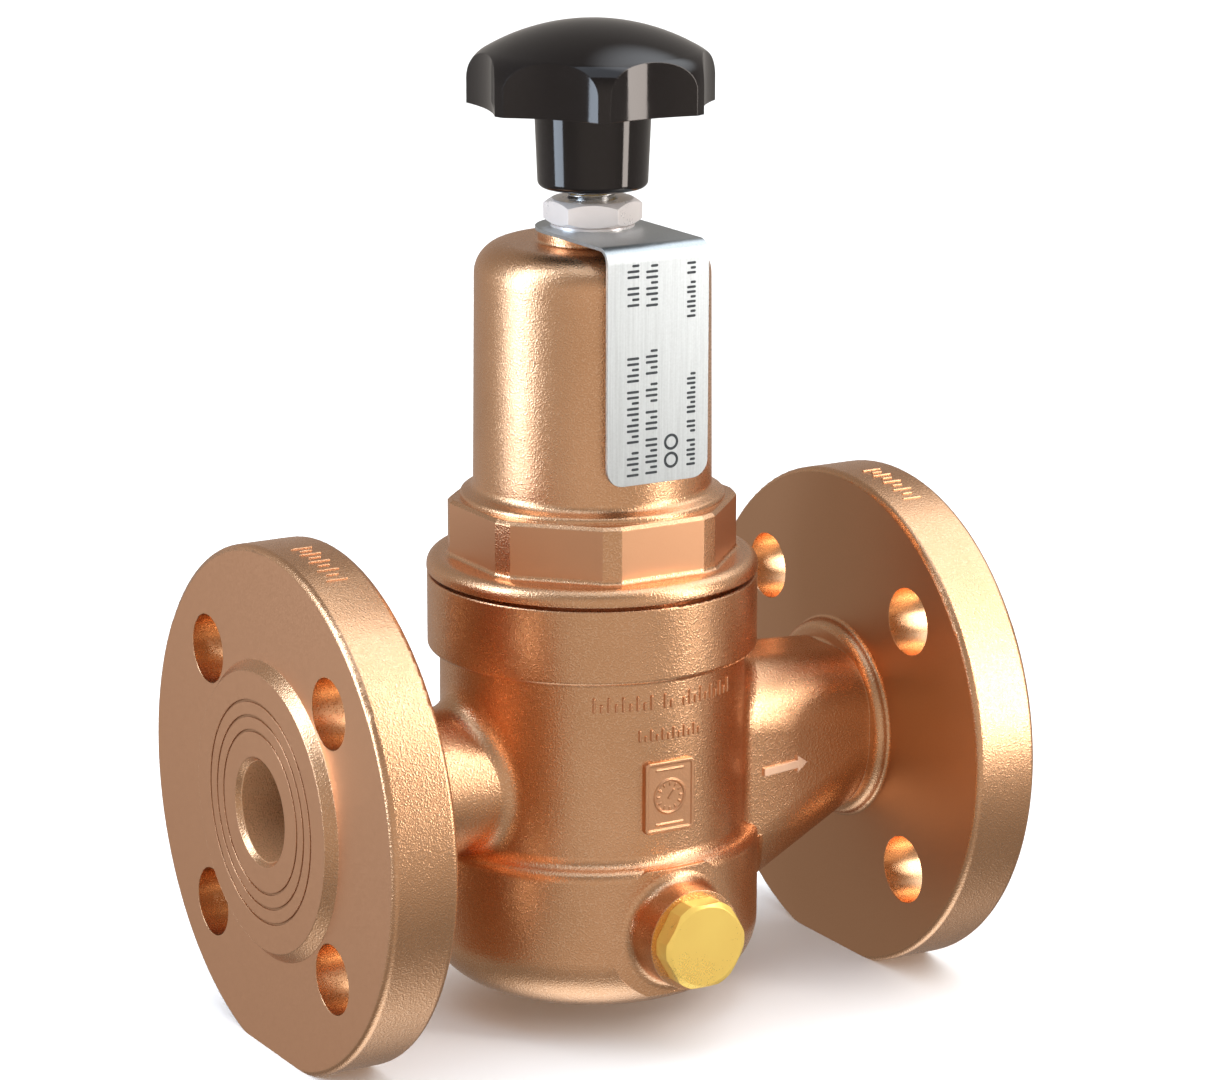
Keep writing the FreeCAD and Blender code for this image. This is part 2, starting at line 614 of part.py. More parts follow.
def gauge_plug_seal(side):
    seal = ring(GAUGE_SEAL_RADIUS - SEAL_GAP, GAUGE_THREAD_RADIUS + SEAL_GAP,
                GAUGE_BOSS_END - GAUGE_SEAL_THICKNESS, GAUGE_BOSS_END)
    return lay_along_y(seal, side)


def lay_along_y(shape, side):
    """Turn a piece drawn about Z so that it points out of the bowl in front (-1) or behind (1)."""
    turned = shape.copy()
    turned.rotate(ORIGIN, ALONG, -90 * side)
    turned.translate(UP * GAUGE_HEIGHT)
    return turned


# ---- seat and guide ----
def seat_ring():
    """Seat screwed into the web, with a raised lip underneath for the soft disc."""
    thread = SEAT_THREAD_RADIUS - THREAD_CLEARANCE
    flange_top = SEAT_WEB_TOP + SEAT_FLANGE_HEIGHT
    return lathe(
        (SEAT_RADIUS, SEAT_LIP_BOTTOM, 0), (SEAT_RADIUS + SEAT_LIP_WIDTH, SEAT_LIP_BOTTOM, 0),
        (SEAT_RADIUS + SEAT_LIP_ROOT, SEAT_BOTTOM, 0), (thread, SEAT_BOTTOM, 0), (thread, SEAT_WEB_TOP, 0),
        (SEAT_FLANGE_RADIUS, SEAT_WEB_TOP, 0), (SEAT_FLANGE_RADIUS, flange_top, FINE_EDGE),
        (SEAT_RADIUS + SEAT_CONE, flange_top, 0), (SEAT_RADIUS, SEAT_WEB_TOP, 0))


def stem_guide():
    """Bush that carries the balancing piston, with a groove for its outer ring."""
    outer = GUIDE_RADIUS - THREAD_CLEARANCE
    groove = outer - 2 * O_RING
    groove_bottom = GUIDE_SEAL_HEIGHT - O_RING
    groove_top = GUIDE_SEAL_HEIGHT + O_RING
    top = SENSING_CHAMBER_FLOOR + GUIDE_FLANGE_HEIGHT
    return lathe(
        (PISTON_RADIUS, INLET_CHAMBER_TOP, EDGE), (outer, INLET_CHAMBER_TOP, EDGE),
        (outer, groove_bottom, 0), (groove, groove_bottom, 0), (groove, groove_top, 0), (outer, groove_top, 0),
        (outer, SENSING_CHAMBER_FLOOR, 0), (GUIDE_FLANGE_RADIUS, SENSING_CHAMBER_FLOOR, 0),
        (GUIDE_FLANGE_RADIUS, top, FINE_EDGE), (PISTON_RADIUS, top, EDGE))


def guide_seal():
    return o_ring(GUIDE_RADIUS - THREAD_CLEARANCE - O_RING, GUIDE_SEAL_HEIGHT, O_RING - O_RING_SQUEEZE)


# ---- stem and disc ----
def valve_stem():
    """Stem with the balancing piston, drilled so that outlet pressure reaches the diaphragm."""
    piston = PISTON_RADIUS - PISTON_CLEARANCE
    groove = piston - 2 * O_RING
    middle = (PISTON_BOTTOM + PISTON_TOP) / 2
    lower_shoulder = SEAL_TOP + RETAINER_THICKNESS
    upper_shoulder = DIAPHRAGM_LEDGE - WASHER_HEIGHT
    stem = lathe(
        (0, STEM_BOTTOM, 0), (STEM_THREAD_RADIUS, STEM_BOTTOM, EDGE), (STEM_THREAD_RADIUS, lower_shoulder, 0),
        (STEM_RADIUS, lower_shoulder, 0), (STEM_RADIUS, PISTON_BOTTOM, 0), (piston, PISTON_BOTTOM, FINE_EDGE),
        (piston, middle - O_RING, 0), (groove, middle - O_RING, 0), (groove, middle + O_RING, 0),
        (piston, middle + O_RING, 0), (piston, PISTON_TOP, FINE_EDGE), (STEM_RADIUS, PISTON_TOP, 0),
        (STEM_RADIUS, upper_shoulder, 0), (STEM_THREAD_RADIUS, upper_shoulder, 0),
        (STEM_THREAD_RADIUS, STEM_TOP, EDGE), (0, STEM_TOP, 0))
    passage = disc(STEM_PASSAGE_RADIUS, STEM_BOTTOM - OVERCUT, STEM_CROSS_HOLE)
    cross_start = vec(-2 * STEM_RADIUS, 0, STEM_CROSS_HOLE)
    cross = Part.makeCylinder(STEM_PASSAGE_RADIUS, 4 * STEM_RADIUS, cross_start, ALONG)
    return single(stem.cut(passage.fuse(cross)))


def piston_seal():
    middle = (PISTON_BOTTOM + PISTON_TOP) / 2
    return o_ring(PISTON_RADIUS - PISTON_CLEARANCE - O_RING, middle, O_RING - O_RING_SQUEEZE)


def disc_holder():
    """Cup that carries the soft seal."""
    seal_bottom = SEAL_TOP - SEAL_THICKNESS
    rim = SEAL_TOP - FINE_EDGE
    return lathe(
        (STEM_THREAD_RADIUS, seal_bottom - DISC_DEPTH, 0), (DISC_HUB_RADIUS, seal_bottom - DISC_DEPTH, EDGE),
        (DISC_RADIUS, seal_bottom - DISC_RIM_DEPTH, BOLD_EDGE), (DISC_RADIUS, rim, FINE_EDGE),
        (SEAL_OUTER_RADIUS, rim, 0), (SEAL_OUTER_RADIUS, seal_bottom, 0), (SEAL_INNER_RADIUS, seal_bottom, 0),
        (SEAL_INNER_RADIUS, SEAL_TOP, 0), (STEM_THREAD_RADIUS, SEAL_TOP, 0))


def disc_seal():
    return ring(SEAL_OUTER_RADIUS - SEAL_GAP, SEAL_INNER_RADIUS + SEAL_GAP, SEAL_TOP - SEAL_THICKNESS, SEAL_TOP)


def seal_retainer():
    return ring(RETAINER_RADIUS, STEM_THREAD_RADIUS, SEAL_TOP, SEAL_TOP + RETAINER_THICKNESS)


def nut(across, thread, bottom, height):
    """Hexagon nut chamfered on both faces."""
    corner = across / math.sqrt(3) + HEX_SLIVER
    blank = hexagon(across, bottom, bottom + height, corner, across / 2 * NUT_FACE_SHARE)
    return blank.cut(disc(thread, bottom - OVERCUT, bottom + height + OVERCUT))


# ---- diaphragm and spring ----
def diaphragm_washer():
    bottom = DIAPHRAGM_LEDGE - WASHER_HEIGHT
    return lathe(
        (STEM_THREAD_RADIUS, bottom, 0), (PLATE_RADIUS, bottom, FINE_EDGE),
        (PLATE_RADIUS, DIAPHRAGM_LEDGE, BOLD_EDGE), (STEM_THREAD_RADIUS, DIAPHRAGM_LEDGE, 0))


def diaphragm():
    return ring(DIAPHRAGM_RADIUS, STEM_THREAD_RADIUS, DIAPHRAGM_LEDGE, DIAPHRAGM_LEDGE + DIAPHRAGM_THICKNESS)


def slip_ring():
    bottom = DIAPHRAGM_LEDGE + DIAPHRAGM_THICKNESS
    return ring(DIAPHRAGM_RADIUS, SENSING_CHAMBER_RADIUS, bottom, bottom + SLIP_RING_THICKNESS)


def lower_spring_plate():
    bottom = DIAPHRAGM_LEDGE + DIAPHRAGM_THICKNESS
    pilot = SPRING_MEAN_RADIUS - SPRING_WIRE_RADIUS - SPRING_PILOT_GAP
    inner = pilot - PLATE_PILOT_WIDTH
    top = SPRING_BOTTOM + PLATE_PILOT_HEIGHT
    return lathe(
        (STEM_THREAD_RADIUS, bottom, 0), (PLATE_RADIUS, bottom, BOLD_EDGE), (PLATE_RADIUS, SPRING_BOTTOM, EDGE),
        (pilot, SPRING_BOTTOM, 0), (pilot, top, EDGE), (inner, top, 0), (inner, SPRING_BOTTOM, 0),
        (STEM_THREAD_RADIUS, SPRING_BOTTOM, 0))


def pressure_spring():
    """Round-wire spring with its two ends ground flat."""
    path = Part.makeHelix(SPRING_PITCH, SPRING_TOP - SPRING_BOTTOM, SPRING_MEAN_RADIUS)
    path.translate(UP * SPRING_BOTTOM)
    start = vec(SPRING_MEAN_RADIUS, 0, SPRING_BOTTOM)
    section = Part.Wire(Part.makeCircle(SPRING_WIRE_RADIUS, start, BACK))
    coil = Part.Wire(path).makePipeShell([section], True, True)
    keep = disc(SPRING_MEAN_RADIUS + 2 * SPRING_WIRE_RADIUS, SPRING_BOTTOM, SPRING_TOP)
    return coil.common(keep).Solids[0]


def upper_spring_plate():
    """Plate on top of the spring, with a pocket for the tip of the adjusting screw."""
    pilot = SPRING_MEAN_RADIUS - SPRING_WIRE_RADIUS - SPRING_PILOT_GAP
    pocket = SCREW_RADIUS + UPPER_PLATE_POCKET_GAP
    plate_top = SPRING_TOP + UPPER_PLATE_THICKNESS
    return lathe(
        (0, SPRING_TOP - UPPER_PLATE_PILOT, 0), (pilot, SPRING_TOP - UPPER_PLATE_PILOT, EDGE),
        (pilot, SPRING_TOP, 0), (UPPER_PLATE_RADIUS, SPRING_TOP, EDGE),
        (UPPER_PLATE_RADIUS, plate_top, BOLD_EDGE), (UPPER_PLATE_BOSS_RADIUS, plate_top, BOLD_EDGE),
        (UPPER_PLATE_BOSS_RADIUS - EDGE, UPPER_PLATE_BOSS_TOP, EDGE),
        (pocket, UPPER_PLATE_BOSS_TOP, 0), (pocket, SCREW_TIP, 0), (0, SCREW_TIP, 0))


# ---- adjusting screw and knob ----
def adjusting_screw():
    return lathe(
        (0, SCREW_TIP, 0), (SCREW_RADIUS, SCREW_TIP, SCREW_TIP_ROUND), (SCREW_RADIUS, SCREW_END - BOLD_EDGE, 0),
        (SCREW_RADIUS - BOLD_EDGE, SCREW_END, 0), (0, SCREW_END, 0))


def insert_outline(bottom):
    """Outside of the threaded bush in the hub: a cylinder with a locking groove round it."""
    waist = INSERT_RADIUS - INSERT_GROOVE_DEPTH
    groove_start = KNOB_HUB_BOTTOM + INSERT_RECESS + INSERT_GROOVE_START
    groove_end = KNOB_HUB_BOTTOM + INSERT_RECESS + INSERT_GROOVE_END
    return [
        (INSERT_RADIUS, bottom, 0), (INSERT_RADIUS, groove_start, 0),
        (waist, groove_start + INSERT_GROOVE_DEPTH, 0), (waist, groove_end - INSERT_GROOVE_DEPTH, 0),
        (INSERT_RADIUS, groove_end, 0), (INSERT_RADIUS, SCREW_END, 0)]


def knob_insert():
    bottom = KNOB_HUB_BOTTOM + INSERT_RECESS
    return lathe((SCREW_RADIUS, bottom, 0), *insert_outline(bottom), (SCREW_RADIUS, SCREW_END, 0))


def knob_dome():
    """Knob head: straight skirt, tight shoulder and a wide crown, all tangent."""
    rise = KNOB_TOP - KNOB_SHOULDER_START
    crown = ((KNOB_RADIUS - KNOB_SHOULDER) ** 2 + rise ** 2 - KNOB_SHOULDER ** 2) / (2 * (rise - KNOB_SHOULDER))
    shoulder_centre = vec(KNOB_RADIUS - KNOB_SHOULDER, 0, KNOB_SHOULDER_START)
    crown_centre = vec(0, 0, KNOB_TOP - crown)
    onward = shoulder_centre - crown_centre
    onward.normalize()
    meeting = crown_centre + onward * crown
    shoulder_middle = ALONG + onward
    shoulder_middle.normalize()
    crown_middle = UP + onward
    crown_middle.normalize()
    top = vec(0, 0, KNOB_TOP)
    skirt_top = vec(KNOB_RADIUS, 0, KNOB_SHOULDER_START)
    rim = vec(KNOB_RADIUS, 0, KNOB_SKIRT_BOTTOM)
    centre = vec(0, 0, KNOB_SKIRT_BOTTOM)
    edges = [
        Part.makeLine(centre, rim),
        Part.makeLine(rim, skirt_top),
        Part.Arc(skirt_top, shoulder_centre + shoulder_middle * KNOB_SHOULDER, meeting).toShape(),
        Part.Arc(meeting, crown_centre + crown_middle * crown, top).toShape(),
        Part.makeLine(top, centre)]
    return Part.Face(Part.Wire(edges)).revolve(ORIGIN, UP, 360)


def hand_knob():
    pitch = 360.0 / KNOB_LOBES
    cusp_half = math.asin(KNOB_CUSP_WIDTH / 2 / KNOB_RADIUS)
    half_span = math.radians(pitch) / 2 - cusp_half
    half_chord = KNOB_RADIUS * math.sin(half_span)
    chord_distance = KNOB_RADIUS * math.cos(half_span)
    centre_distance = chord_distance + math.sqrt(KNOB_SCALLOP_RADIUS ** 2 - half_chord ** 2)
    head = knob_dome()
    for i in range(KNOB_LOBES):
        angle = math.radians(KNOB_FIRST_CUSP_DEG + (i + 0.5) * pitch)
        foot = KNOB_TOP - 2 * (KNOB_TOP - KNOB_SKIRT_BOTTOM)
        centre = vec(centre_distance * math.cos(angle), centre_distance * math.sin(angle), foot)
        head = head.cut(Part.makeCylinder(KNOB_SCALLOP_RADIUS, KNOB_TOP - foot, centre, UP))
    hollow_top = KNOB_SKIRT_BOTTOM + KNOB_HOLLOW
    hollow = ring(chord_distance - KNOB_RIM, KNOB_HUB_TOP_RADIUS + KNOB_HUB_ROOT, KNOB_SKIRT_BOTTOM - OVERCUT,
                  hollow_top)
    hub_top = hollow_top + 2 * OVERCUT
    hub = lathe((0, KNOB_HUB_BOTTOM, 0), (KNOB_HUB_BOTTOM_RADIUS, KNOB_HUB_BOTTOM, KNOB_HUB_ROUND),
                (KNOB_HUB_TOP_RADIUS, hub_top, 0), (0, hub_top, 0))
    below = KNOB_HUB_BOTTOM - OVERCUT
    bush = lathe((0, below, 0), *insert_outline(below), (0, SCREW_END, 0))
    return single(head.cut(hollow).fuse(hub).cut(bush))


os.makedirs("parts", exist_ok=True)
plate_top = COLLAR_BOSS_TOP + PLATE_THICKNESS
nut_bottom = plate_top + WASHER_THICKNESS

save("valve_body", valve_body())
save("spring_bonnet", spring_bonnet())
save("name_plate", name_plate())
save("lock_washer", ring(WASHER_RADIUS, SCREW_RADIUS + SCREW_CLEARANCE, plate_top, nut_bottom))
save("lock_nut", nut(NUT_ACROSS, SCREW_RADIUS + SCREW_CLEARANCE, nut_bottom, NUT_HEIGHT))
save("adjusting_screw", adjusting_screw())
save("knob_insert", knob_insert())
save("hand_knob", hand_knob())
save("upper_spring_plate", upper_spring_plate())
save("pressure_spring", pressure_spring())
save("lower_spring_plate", lower_spring_plate())
save("stem_nut", nut(STEM_NUT_ACROSS, STEM_THREAD_RADIUS, SPRING_BOTTOM, STEM_NUT_HEIGHT))
save("diaphragm", diaphragm())
save("slip_ring", slip_ring())
save("diaphragm_washer", diaphragm_washer())
save("valve_stem", valve_stem())
save("piston_seal", piston_seal())
save("stem_guide", stem_guide())
save("guide_seal", guide_seal())
save("seat_ring", seat_ring())
save("disc_holder", disc_holder())
save("disc_seal", disc_seal())
save("seal_retainer", seal_retainer())
disc_bottom = SEAL_TOP - SEAL_THICKNESS - DISC_DEPTH
save("disc_nut", nut(STEM_NUT_ACROSS, STEM_THREAD_RADIUS, disc_bottom - DISC_NUT_HEIGHT, DISC_NUT_HEIGHT))
for side, place in ((-1, "front"), (1, "rear")):
    save("gauge_plug_" + place, gauge_plug(side))
    save("gauge_plug_seal_" + place, gauge_plug_seal(side))
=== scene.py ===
import math

import bpy
from mathutils import Matrix, Vector

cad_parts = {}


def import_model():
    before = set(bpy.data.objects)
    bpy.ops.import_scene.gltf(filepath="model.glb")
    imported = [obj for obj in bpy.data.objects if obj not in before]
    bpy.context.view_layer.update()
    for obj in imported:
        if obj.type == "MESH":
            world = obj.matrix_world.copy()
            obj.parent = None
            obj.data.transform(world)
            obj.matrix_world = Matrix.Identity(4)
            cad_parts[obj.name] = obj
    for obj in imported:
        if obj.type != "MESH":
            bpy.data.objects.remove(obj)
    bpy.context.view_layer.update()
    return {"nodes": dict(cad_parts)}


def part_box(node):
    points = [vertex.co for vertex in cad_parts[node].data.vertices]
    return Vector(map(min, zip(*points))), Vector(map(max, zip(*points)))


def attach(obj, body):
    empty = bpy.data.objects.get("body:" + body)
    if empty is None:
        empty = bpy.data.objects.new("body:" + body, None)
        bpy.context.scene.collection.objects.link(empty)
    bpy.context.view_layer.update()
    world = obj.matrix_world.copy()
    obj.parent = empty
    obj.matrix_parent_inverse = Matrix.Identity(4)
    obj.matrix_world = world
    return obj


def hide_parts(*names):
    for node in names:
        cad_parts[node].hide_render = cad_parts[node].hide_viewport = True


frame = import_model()

# Looks for a flanged pressure reducing valve. Metres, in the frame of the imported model: X along
# the pipe, Z along the spindle, the origin on the surface that the flanges stand on.

MM = 0.001

# ---- places taken from the frame ----
BODY_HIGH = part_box("valve_body")[1]
PLATE_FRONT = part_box("name_plate")[0].y
SCREW_LOW, SCREW_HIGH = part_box("adjusting_screw")
FACE_X = BODY_HIGH.x
FLANGE_RADIUS = BODY_HIGH.y
AXIS_Z = BODY_HIGH.z - FLANGE_RADIUS
SCREW_RADIUS = SCREW_HIGH.x

# ---- sizes of the casting that the looks depend on ----
RAISED_FACE = 2.0 * MM
FLANGE_PLATE = 14.0 * MM
BARREL_RADIUS = 30.85 * MM
BORE_RADIUS = 10.0 * MM
GROOVES_INNER = 12.5 * MM
GROOVES_OUTER = 26.0 * MM
BOLT_OFFSET = 37.5 * MM * math.sqrt(0.5)
BOLT_HOLE_RADIUS = 7.0 * MM
ARROW_START = 29.5 * MM
ARROW_END = 41.5 * MM
ARROW_HALF_HEIGHT = 3.0 * MM
ARROW_FRONT = -17.85 * MM
ARROW_Z = AXIS_Z - 3.0 * MM
OCTAGON_BOTTOM = 44.2 * MM + AXIS_Z
OCTAGON_TOP = 54.4 * MM + AXIS_Z
SOFT_EDGE = 0.3 * MM


# ---- material helper ----
class Finish:
    """A material under construction: its shader, its object coordinates and short calls for nodes."""

    def __init__(self, name, colour, metallic, roughness):
        self.material = bpy.data.materials.new(name)
        self.material.use_nodes = True
        self.tree = self.material.node_tree
        self.shader = self.tree.nodes["Principled BSDF"]
        self.shader.inputs["Base Color"].default_value = (*colour, 1)
        self.shader.inputs["Metallic"].default_value = metallic
        self.shader.inputs["Roughness"].default_value = roughness
        coordinates = self.tree.nodes.new("ShaderNodeTexCoord")
        self.place = coordinates.outputs["Object"]
        self.facing = coordinates.outputs["Normal"]

    def node(self, kind, **settings):
        made = self.tree.nodes.new(kind)
        for key, value in settings.items():
            setattr(made, key, value)
        return made

    def feed(self, socket, value):
        """Links a socket to a socket, or sets it to a number or a colour."""
        if isinstance(value, bpy.types.NodeSocket):
            self.tree.links.new(value, socket)
        elif isinstance(value, tuple) and len(value) == 3 and socket.type == "RGBA":
            socket.default_value = (*value, 1)
        else:
            socket.default_value = value

    def math(self, operation, *values):
        made = self.node("ShaderNodeMath", operation=operation)
        for socket, value in zip(made.inputs, values):
            self.feed(socket, value)
        return made.outputs[0]

    def magnitude(self, value):
        return self.math("ABSOLUTE", value)

    def all_of(self, share, *others):
        """The product of shares: 1 where every one of them is 1."""
        for other in others:
            share = self.math("MULTIPLY", share, other)
        return share

    def less(self, share, other, weight):
        """share, minus weight times other."""
        return self.math("SUBTRACT", share, self.math("MULTIPLY", other, weight))

    def distance(self, a, b):
        squares = self.math("MULTIPLY", a, a), self.math("MULTIPLY", b, b)
        return self.math("SQRT", self.math("ADD", *squares))

    def split(self, vector):
        made = self.node("ShaderNodeSeparateXYZ")
        self.feed(made.inputs[0], vector)
        return made.outputs[0], made.outputs[1], made.outputs[2]

    def stretched(self, x, y, z):
        """The object coordinates scaled along each axis."""
        made = self.node("ShaderNodeMapping")
        self.feed(made.inputs["Vector"], self.place)
        made.inputs["Scale"].default_value = (x, y, z)
        return made.outputs[0]

    def noise(self, scale, detail=2.0, rough=0.5, vector=None):
        made = self.node("ShaderNodeTexNoise")
        self.feed(made.inputs["Vector"], vector or self.place)
        made.inputs["Scale"].default_value = scale
        made.inputs["Detail"].default_value = detail
        made.inputs["Roughness"].default_value = rough
        return made.outputs[0]

    def ramp(self, value, low, high, out_low=0.0, out_high=1.0):
        """value from low..high spread over out_low..out_high, held at both ends."""
        made = self.node("ShaderNodeMapRange", clamp=True)
        for socket, setting in zip(made.inputs, (value, low, high, out_low, out_high)):
            self.feed(socket, setting)
        return made.outputs[0]

    def between(self, value, low, high, soft=SOFT_EDGE):
        """1 where value lies between low and high, with soft edges."""
        above = self.ramp(value, low - soft, low)
        below = self.ramp(value, high, high + soft, 1.0, 0.0)
        return self.math("MULTIPLY", above, below)

    def blend(self, share, first, second):
        """A colour between first (share 0) and second (share 1)."""
        made = self.node("ShaderNodeMix", data_type="RGBA")
        self.feed(made.inputs["Factor"], share)
        self.feed(made.inputs[6], first)
        self.feed(made.inputs[7], second)
        return made.outputs[2]

    def relief(self, height, depth, edge=0.0):
        """Raises the surface by height (0..1) times depth, over edges rounded by edge."""
        bump = self.node("ShaderNodeBump")
        self.feed(bump.inputs["Height"], height)
        bump.inputs["Strength"].default_value = 1.0
        bump.inputs["Distance"].default_value = depth
        if edge:
            bevel = self.node("ShaderNodeBevel", samples=4)
            bevel.inputs["Radius"].default_value = edge
            self.feed(bump.inputs["Normal"], bevel.outputs[0])
        self.feed(self.shader.inputs["Normal"], bump.outputs[0])

    def set(self, **inputs):
        """Feeds shader inputs by name, with _ for a space."""
        for key, value in inputs.items():
            self.feed(self.shader.inputs[key.replace("_", " ")], value)
        return self.material


# ---- where a casting's skin differs, and where shade is painted on it: functions of a Finish that give a share of 0 to 1 ----
def nowhere(f):
    return 0.0


def mostly(f):
    """For small raised marks, which a coarse grain would hide."""
    return 0.7


def at_flanges(f):
    x, _, _ = f.split(f.place)
    return f.ramp(f.magnitude(x), FACE_X - 20 * MM, FACE_X - 18 * MM)


def flange_faces(f):
    """Flat faces across the pipe, which are turned on a lathe."""
    along, _, _ = f.split(f.facing)
    return f.all_of(f.ramp(f.magnitude(along), 0.985, 0.998), at_flanges(f))


def grooves(f):
    """The rings turned into the raised faces."""
    x, y, z = f.split(f.place)
    deep = f.ramp(f.magnitude(x), FACE_X - 0.20 * MM, FACE_X - 0.06 * MM, 1.0, 0.0)
    shallow = f.ramp(f.magnitude(x), FACE_X - 1.5 * MM, FACE_X - 1.4 * MM)
    from_axis = f.distance(y, f.math("SUBTRACT", z, AXIS_Z))
    return f.all_of(deep, shallow, f.between(from_axis, GROOVES_INNER, GROOVES_OUTER, 0.2 * MM))


def painted_shade_places(f):
    """Where shade is painted: the faces of the flanges that look at the body, and the grooves in their
    raised faces.
    """
    along, _, _ = f.split(f.facing)
    x, _, _ = f.split(f.place)
    square = f.ramp(f.magnitude(along), 0.90, 0.985)
    inward = f.ramp(f.math("MULTIPLY", along, f.math("SIGN", x)), -0.5, 0.5, 1.0, 0.0)
    return f.math("MAXIMUM", f.all_of(square, inward, at_flanges(f)), grooves(f))


def within(f, from_axis, radius):
    """1 inside a round hole and on its wall."""
    return f.ramp(from_axis, radius + 0.05 * MM, radius + 0.15 * MM, 1.0, 0.0)


def bolt_holes(f):
    _, y, z = f.split(f.place)
    across = f.math("SUBTRACT", f.magnitude(y), BOLT_OFFSET)
    up = f.math("SUBTRACT", f.magnitude(f.math("SUBTRACT", z, AXIS_Z)), BOLT_OFFSET)
    return f.all_of(within(f, f.distance(across, up), BOLT_HOLE_RADIUS), at_flanges(f))


def flow_bore(f):
    _, y, z = f.split(f.place)
    return within(f, f.distance(y, f.math("SUBTRACT", z, AXIS_Z)), BORE_RADIUS)


def flow_arrow(f):
    """The raised arrow on the outlet neck."""
    x, y, z = f.split(f.place)
    along = f.between(x, ARROW_START, ARROW_END)
    level = f.between(z, ARROW_Z - ARROW_HALF_HEIGHT, ARROW_Z + ARROW_HALF_HEIGHT)
    front = f.ramp(y, ARROW_FRONT, ARROW_FRONT + 0.1 * MM, 1.0, 0.0)
    return f.all_of(along, level, front)


def octagon_flats(f):
    """The eight flats for the spanner."""
    nx, ny, nz = f.split(f.facing)
    _, _, z = f.split(f.place)
    turned = f.math("COSINE", f.math("MULTIPLY", f.math("ARCTAN2", ny, nx), 8.0))
    on_flat = f.ramp(turned, 0.90, 0.97)
    upright = f.ramp(f.magnitude(nz), 0.02, 0.06, 1.0, 0.0)
    return f.all_of(on_flat, upright, f.between(z, OCTAGON_BOTTOM, OCTAGON_TOP))


# ---- gunmetal castings ----
BRONZE = (0.86, 0.47, 0.255)
BRONZE_DEEP = (0.76, 0.41, 0.215)
BRONZE_PALE = (0.93, 0.60, 0.385)
BRONZE_MACHINED = (0.80, 0.425, 0.235)
BRONZE_RUBBED = (0.94, 0.60, 0.40)
# the dull brown below is painted shade, for the flange faces that look at the body and the face grooves
BRONZE_PAINTED_SHADE = (0.50, 0.27, 0.145)
COPPER_CUT = (0.82, 0.48, 0.26)
BORE_BROWN = (0.47, 0.25, 0.125)
GRAIN_SCALE = 2900.0
CLOUD_SCALE = 45.0
PALE_FLECKS = 0.55
# how much of that painted shade is laid on
PAINTED_SHADE_SHARE = 0.75
ROUGH_LOWS = 0.35
SMOOTH_HIGHS = 0.23
WORKED_ROUGHER = 0.10
GRAIN_DEPTH = 0.075 * MM
CAST_EDGE = 0.28 * MM


def cast_bronze(name, machined=nowhere, cut=nowhere, painted_shade=nowhere, bore=nowhere, rubbed=nowhere):
    """Blasted gunmetal.

    The functions of f give the shares of turned faces, of drilled holes, of painted shade in a dull dark
    brown, of the flow bore, and of raised marks that are rubbed bright.
    """
    f = Finish(name, BRONZE, 1.0, ROUGH_LOWS)
    worked = machined(f)
    drilled = cut(f)
    bored = bore(f)
    bright = rubbed(f)
    grain = f.noise(GRAIN_SCALE, 1.0, 0.5)
    clouds = f.noise(CLOUD_SCALE, 3.0, 0.55)
    colour = f.blend(f.ramp(clouds, 0.35, 0.68), BRONZE_DEEP, BRONZE)
    colour = f.blend(f.ramp(grain, 0.48, 0.72, 0.0, PALE_FLECKS), colour, BRONZE_PALE)
    colour = f.blend(worked, colour, BRONZE_MACHINED)
    colour = f.blend(bright, colour, BRONZE_RUBBED)
    colour = f.blend(drilled, colour, COPPER_CUT)
    # painted shade: darker, duller brown on the flange faces that look at the body and in the face grooves
    colour = f.blend(f.math("MULTIPLY", painted_shade(f), PAINTED_SHADE_SHARE), colour, BRONZE_PAINTED_SHADE)
    colour = f.blend(bored, colour, BORE_BROWN)
    smoothed = f.math("ADD", worked, bright)
    roughness = f.math("ADD", f.ramp(grain, 0.30, 0.75, ROUGH_LOWS, SMOOTH_HIGHS),
                       f.math("MULTIPLY", smoothed, WORKED_ROUGHER))
    plain = f.math("SUBTRACT", 1.0, f.math("MAXIMUM", worked, drilled))
    grained = f.math("ADD", plain, f.math("MULTIPLY", worked, 0.15))
    grained = f.math("MULTIPLY", grained, f.less(1.0, bright, 0.7))
    f.relief(f.math("MULTIPLY", grain, grained), GRAIN_DEPTH, CAST_EDGE)
    metallic = f.less(f.less(1.0, bored, 0.65), bright, 0.45)
    return f.set(Base_Color=colour, Roughness=roughness, Metallic=metallic)


# ---- the other finishes ----
WARM_GLOSS = (1.0, 0.90, 0.84)


def turned_metal(name, colour, deep, roughness, across=(1, 1, 1), depth=0.02 * MM, metallic=1.0):
    """Metal with fine tool marks: noise squeezed along the axis the marks lie across."""
    f = Finish(name, colour, metallic, roughness)
    marks = f.noise(2600.0, 3.0, 0.6, f.stretched(*across))
    patches = f.noise(120.0, 3.0, 0.5)
    shade = f.blend(f.ramp(patches, 0.30, 0.75), deep, colour)
    worn = f.math("ADD", f.ramp(patches, 0.30, 0.75, roughness - 0.03, roughness + 0.04),
                  f.ramp(marks, 0.3, 0.7, -0.02, 0.02))
    f.relief(marks, depth, 0.15 * MM)
    return f.set(Base_Color=shade, Roughness=worn)


def moulded_plastic(name, colour, worn, roughness, depth, index=1.5):
    """Moulded plastic or rubber with a faint orange peel, slightly duller patches and a warm gloss."""
    f = Finish(name, colour, 0.0, roughness)
    peel = f.noise(700.0, 2.0, 0.5)
    patches = f.noise(60.0, 3.0, 0.5)
    shade = f.blend(f.ramp(patches, 0.40, 0.75), colour, worn)
    dull = f.ramp(patches, 0.30, 0.75, roughness - 0.03, roughness + 0.05)
    f.relief(peel, depth, 0.25 * MM)
    return f.set(Base_Color=shade, Roughness=dull, IOR=index, Specular_Tint=WARM_GLOSS)


